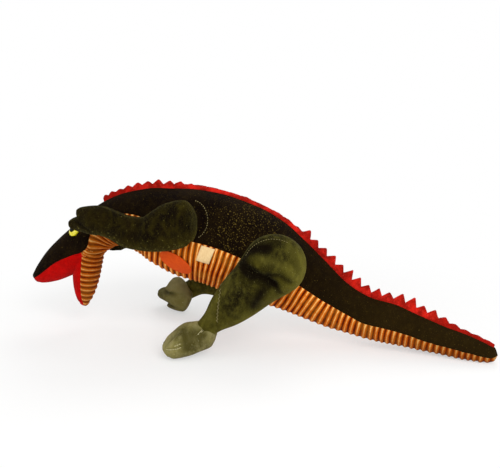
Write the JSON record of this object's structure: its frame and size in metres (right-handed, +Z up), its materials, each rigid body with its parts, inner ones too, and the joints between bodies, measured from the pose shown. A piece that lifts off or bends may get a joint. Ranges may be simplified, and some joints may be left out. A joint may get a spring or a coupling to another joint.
{
  "type": "plush dinosaur",
  "caption": "Stuffed velour dinosaur standing on its hind feet and tail tip, with an open felt-lined mouth, a ribbed underside and a toothed felt ridge along its back.",
  "frame": {"origin": "on the floor, at the middle of the toy's outline seen from above", "axes": "+Z up, -X the way the head points, +X along the tail, -Y the toy's left side"},
  "size_m": [0.6129, 0.2237, 0.2086],
  "materials": {
    "dark_velour": "short-pile velour",
    "olive_velour": "short-pile velour",
    "light_olive_velour": "short-pile velour",
    "ribbed_velour": "wide-ribbed velour",
    "red_felt": "matt felt",
    "yellow_plastic": "glossy",
    "black_plastic": "glossy",
    "label_tape": "satin tape",
    "tag_card": "laminated card",
    "stuffing": "polyester fibre",
    "washer_plastic": "natural"
  },
  "bodies": {
    "torso": {"torso_stuffing": "stuffing", "torso_back_left": "dark_velour", "torso_back_right": "dark_velour", "belly_panel": "ribbed_velour", "back_ridge": "red_felt", "care_label": "label_tape", "hang_tag": "tag_card"},
    "head": {"head_stuffing": "stuffing", "head_skin_left": "dark_velour", "head_skin_right": "dark_velour", "palate_felt": "red_felt", "iris_left": "yellow_plastic", "iris_right": "yellow_plastic", "pupil_left": "black_plastic", "pupil_right": "black_plastic", "eye_washer_left": "washer_plastic", "eye_washer_right": "washer_plastic"},
    "jaw": {"jaw_stuffing": "stuffing", "jaw_felt": "red_felt", "jaw_ribbed_skin": "ribbed_velour"},
    "arm_left": {"arm_left_stuffing": "stuffing", "arm_left_skin": "olive_velour"},
    "arm_right": {"arm_right_stuffing": "stuffing", "arm_right_skin": "olive_velour"},
    "leg_left": {"leg_left_stuffing": "stuffing", "leg_left_skin": "olive_velour", "foot_left_stuffing": "stuffing", "foot_left_skin": "light_olive_velour"},
    "leg_right": {"leg_right_stuffing": "stuffing", "leg_right_skin": "olive_velour", "foot_right_stuffing": "stuffing", "foot_right_skin": "light_olive_velour"},
    "tail": {"tail_stuffing": "stuffing", "tail_back_left": "dark_velour", "tail_back_right": "dark_velour", "tail_under_panel": "ribbed_velour", "tail_ridge": "red_felt"},
    "tail_tip": {"tail_tip_stuffing": "stuffing", "tail_tip_back_left": "dark_velour", "tail_tip_back_right": "dark_velour", "tail_tip_under_panel": "ribbed_velour", "tail_tip_ridge": "red_felt"}
  },
  "joints": [
    {"name": "head_nod", "type": "hinge", "parent": "torso", "child": "head", "pos_m": [-0.21263, 0, 0.13603], "axis": [0, 1, 0], "range_deg": [-15, 40], "stiffness_Nm_per_rad": 1},
    {"name": "jaw_open", "type": "hinge", "parent": "head", "child": "jaw", "pos_m": [-0.22363, 0, 0.11053], "axis": [0, 1, 0], "range_deg": [-12, 16], "stiffness_Nm_per_rad": 0.3},
    {"name": "shoulder_left", "type": "hinge", "parent": "torso", "child": "arm_left", "pos_m": [-0.07882, -0.04895, 0.163], "axis": [0, 1, 0], "range_deg": [-40, 20], "stiffness_Nm_per_rad": 0.6},
    {"name": "shoulder_right", "type": "hinge", "parent": "torso", "child": "arm_right", "pos_m": [-0.07882, 0.04895, 0.163], "axis": [0, 1, 0], "range_deg": [-10, 50], "stiffness_Nm_per_rad": 0.6},
    {"name": "hip_left", "type": "hinge", "parent": "torso", "child": "leg_left", "pos_m": [0.03116, -0.04895, 0.11476], "axis": [0, 1, 0], "range_deg": [-30, 15], "stiffness_Nm_per_rad": 6, "springref_deg": -1.6},
    {"name": "hip_right", "type": "hinge", "parent": "torso", "child": "leg_right", "pos_m": [0.00733, 0.04895, 0.10918], "axis": [0, 1, 0], "range_deg": [-30, 5], "stiffness_Nm_per_rad": 6, "springref_deg": -1.89},
    {"name": "tail_sway", "type": "hinge", "parent": "torso", "child": "tail", "pos_m": [0.05988, -0.00365, 0.07659], "axis": [0, 0, 1], "range_deg": [-20, 20], "stiffness_Nm_per_rad": 1.5},
    {"name": "tail_tip_sway", "type": "hinge", "parent": "tail", "child": "tail_tip", "pos_m": [0.19063, -0.02611, 0.02881], "axis": [0, 0, 1], "range_deg": [-25, 25], "stiffness_Nm_per_rad": 0.8}
  ]
}
